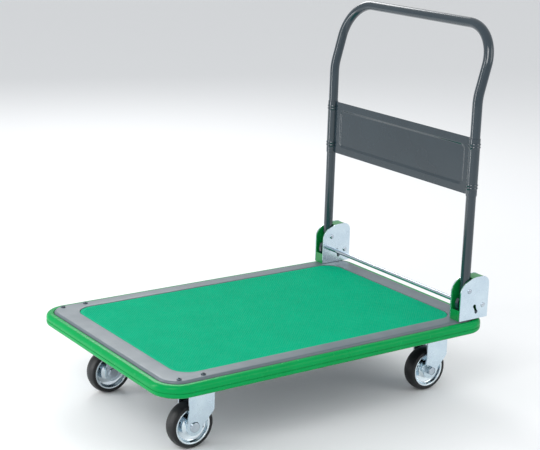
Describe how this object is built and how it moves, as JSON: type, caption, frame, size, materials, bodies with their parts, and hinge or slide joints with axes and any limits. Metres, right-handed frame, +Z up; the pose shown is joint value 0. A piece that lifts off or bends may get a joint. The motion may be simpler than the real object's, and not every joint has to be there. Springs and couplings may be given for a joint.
{
  "type": "folding platform cart",
  "caption": "Flat four-wheeled platform cart with a mat-topped steel deck and a tubular push handle that folds down onto it.",
  "frame": {"origin": "on the floor, under the middle of the deck", "axes": "+Z up, +X towards the push handle, +Y to the pusher's right"},
  "size_m": [0.84, 0.563, 0.841],
  "materials": {
    "deck_enamel": "satin grey enamel",
    "mat_rubber": "matt green, fine embossed pattern",
    "bumper_vinyl": "semi-gloss green",
    "bracket_enamel": "semi-gloss green enamel",
    "zinc_plate": "bright zinc plating",
    "handle_enamel": "glossy dark blue-grey enamel",
    "tyre_rubber": "black rubber",
    "bush_nylon": "black nylon",
    "bearing_steel": "ground steel"
  },
  "bodies": {
    "deck": {"deck_pan": "deck_enamel", "front_cross_member": "deck_enamel", "rear_cross_member": "deck_enamel", "deck_rail_left": "deck_enamel", "deck_rail_right": "deck_enamel", "anti_slip_mat": "mat_rubber", "edge_bumper": "bumper_vinyl", "bracket_channel_left": "bracket_enamel", "bracket_channel_right": "bracket_enamel", "deck_screws": "zinc_plate", "deck_screw_nuts": "zinc_plate", "bracket_rivets": "zinc_plate", "bracket_bolts": "zinc_plate", "bracket_bolt_nuts": "zinc_plate", "pivot_shaft": "zinc_plate", "front_axles": "zinc_plate", "caster_bolts": "zinc_plate", "caster_nuts": "zinc_plate", "outer_cheek_left": "zinc_plate", "inner_cheek_left": "zinc_plate", "fixed_fork_left": "zinc_plate", "swivel_plate_left": "zinc_plate", "outer_cheek_right": "zinc_plate", "inner_cheek_right": "zinc_plate", "fixed_fork_right": "zinc_plate", "swivel_plate_right": "zinc_plate"},
    "handle": {"handle_tube": "handle_enamel", "back_panel": "handle_enamel", "foot_bushes": "bush_nylon", "handle_foot_left": "handle_enamel", "handle_foot_right": "handle_enamel"},
    "lock_pin_left": {"lock_pin_left": "zinc_plate"},
    "swivel_left": {"swivel_fork_left": "zinc_plate", "swivel_balls_left": "bearing_steel", "kingpin_left": "zinc_plate", "rear_axle_bolt_left": "zinc_plate", "rear_axle_nut_left": "zinc_plate"},
    "wheel_front_left": {"tyre_front_left": "tyre_rubber", "rim_front_left": "zinc_plate", "hub_front_left": "bearing_steel"},
    "wheel_rear_left": {"tyre_rear_left": "tyre_rubber", "rim_rear_left": "zinc_plate", "hub_rear_left": "bearing_steel"},
    "lock_pin_right": {"lock_pin_right": "zinc_plate"},
    "swivel_right": {"swivel_fork_right": "zinc_plate", "swivel_balls_right": "bearing_steel", "kingpin_right": "zinc_plate", "rear_axle_bolt_right": "zinc_plate", "rear_axle_nut_right": "zinc_plate"},
    "wheel_front_right": {"tyre_front_right": "tyre_rubber", "rim_front_right": "zinc_plate", "hub_front_right": "bearing_steel"},
    "wheel_rear_right": {"tyre_rear_right": "tyre_rubber", "rim_rear_right": "zinc_plate", "hub_rear_right": "bearing_steel"}
  },
  "joints": [
    {"name": "handle_fold", "type": "hinge", "parent": "deck", "child": "handle", "pos_m": [0.359, 0, 0.2215], "axis": [0, -1, 0], "range_deg": [0, 90]},
    {"name": "lock_slide_left", "type": "slide", "parent": "deck", "child": "lock_pin_left", "axis": [-0.3939, 0, 0.9191], "range_m": [0, 0.01447]},
    {"name": "lock_slide_right", "type": "slide", "parent": "deck", "child": "lock_pin_right", "axis": [-0.3939, 0, 0.9191], "range_m": [0, 0.01447]},
    {"name": "caster_swivel_left", "type": "hinge", "parent": "deck", "child": "swivel_left", "pos_m": [0.345, -0.173, 0.13], "axis": [0, 0, 1], "continuous": true},
    {"name": "caster_swivel_right", "type": "hinge", "parent": "deck", "child": "swivel_right", "pos_m": [0.345, 0.173, 0.13], "axis": [0, 0, 1], "continuous": true},
    {"name": "wheel_spin_front_left", "type": "hinge", "parent": "deck", "child": "wheel_front_left", "pos_m": [-0.3, -0.173, 0.05], "axis": [0, 1, 0], "continuous": true},
    {"name": "wheel_spin_rear_left", "type": "hinge", "parent": "swivel_left", "child": "wheel_rear_left", "pos_m": [0.325, -0.173, 0.05], "axis": [0, 1, 0], "continuous": true},
    {"name": "wheel_spin_front_right", "type": "hinge", "parent": "deck", "child": "wheel_front_right", "pos_m": [-0.3, 0.173, 0.05], "axis": [0, 1, 0], "continuous": true},
    {"name": "wheel_spin_rear_right", "type": "hinge", "parent": "swivel_right", "child": "wheel_rear_right", "pos_m": [0.325, 0.173, 0.05], "axis": [0, 1, 0], "continuous": true}
  ]
}
